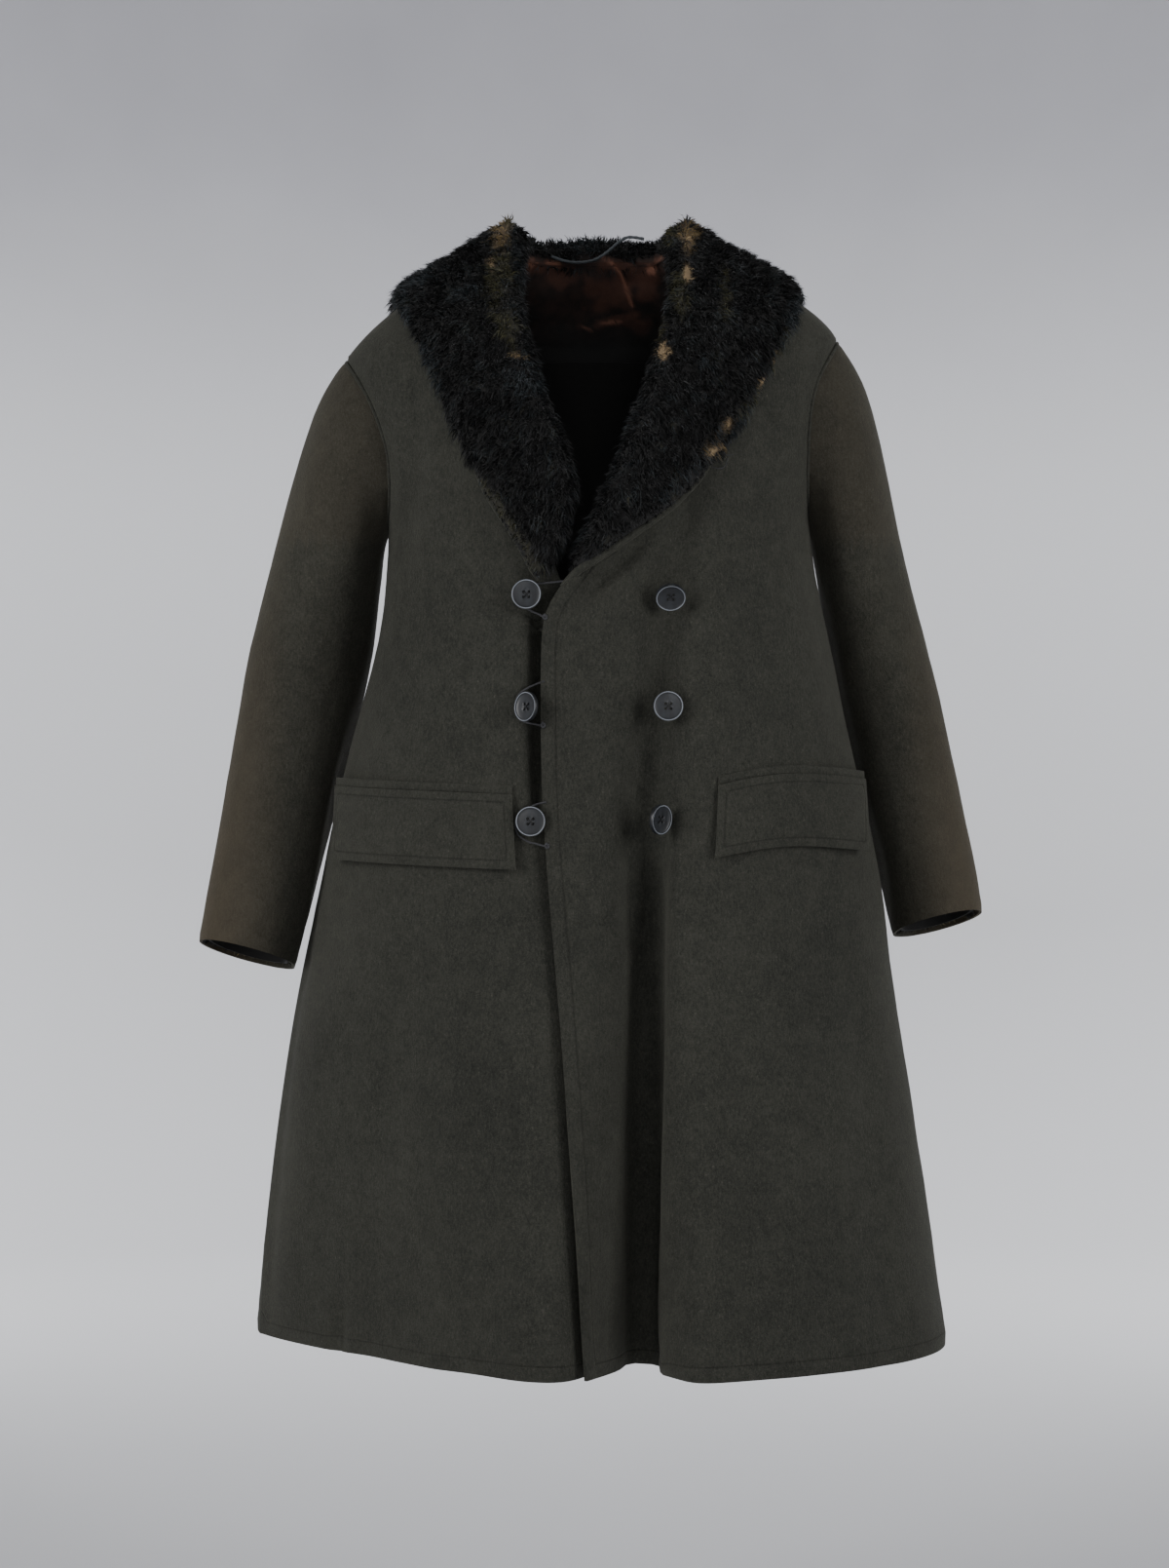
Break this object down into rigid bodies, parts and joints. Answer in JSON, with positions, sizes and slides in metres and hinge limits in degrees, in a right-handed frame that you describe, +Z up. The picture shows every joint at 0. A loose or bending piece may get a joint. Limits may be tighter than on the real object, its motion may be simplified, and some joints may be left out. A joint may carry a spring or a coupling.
{
  "type": "fur-collared pelisse overcoat",
  "caption": "Long double-breasted wool overcoat with a fur shawl collar, filled out as worn, hollow, with flap pockets and buttons.",
  "frame": {"origin": "between the wearer's shoulders at the base of the neck, where the coat is held up", "axes": "+Z up, -Y the way the fronts face, +X towards the wearer's left"},
  "size_m": [0.789, 0.4844, 1.1123],
  "materials": {
    "wool": "heavy fulled wool, matt",
    "fur": "worn black fur",
    "worn_lining": "worn reddish lining",
    "button": "polished black horn",
    "cord": "twisted cord",
    "hanger": "woven cord"
  },
  "bodies": {
    "root": {"front_right": "wool", "front_left": "wool", "back": "wool", "sleeve_top_right": "wool", "sleeve_under_right": "wool", "sleeve_top_left": "wool", "sleeve_under_left": "wool", "flap_right": "wool", "flap_left": "wool", "welt_right": "wool", "welt_left": "wool", "collar_right": "fur", "collar_left": "fur", "cuff_lining_right": "fur", "cuff_lining_left": "fur", "lining_fur": "fur", "lining_neck": "worn_lining", "button_right_1": "button", "button_right_2": "button", "button_right_3": "button", "button_left_1": "button", "button_left_2": "button", "button_left_3": "button", "button_loop_1": "cord", "button_loop_2": "cord", "button_loop_3": "cord", "hanging_loop": "hanger"}
  },
  "joints": []
}
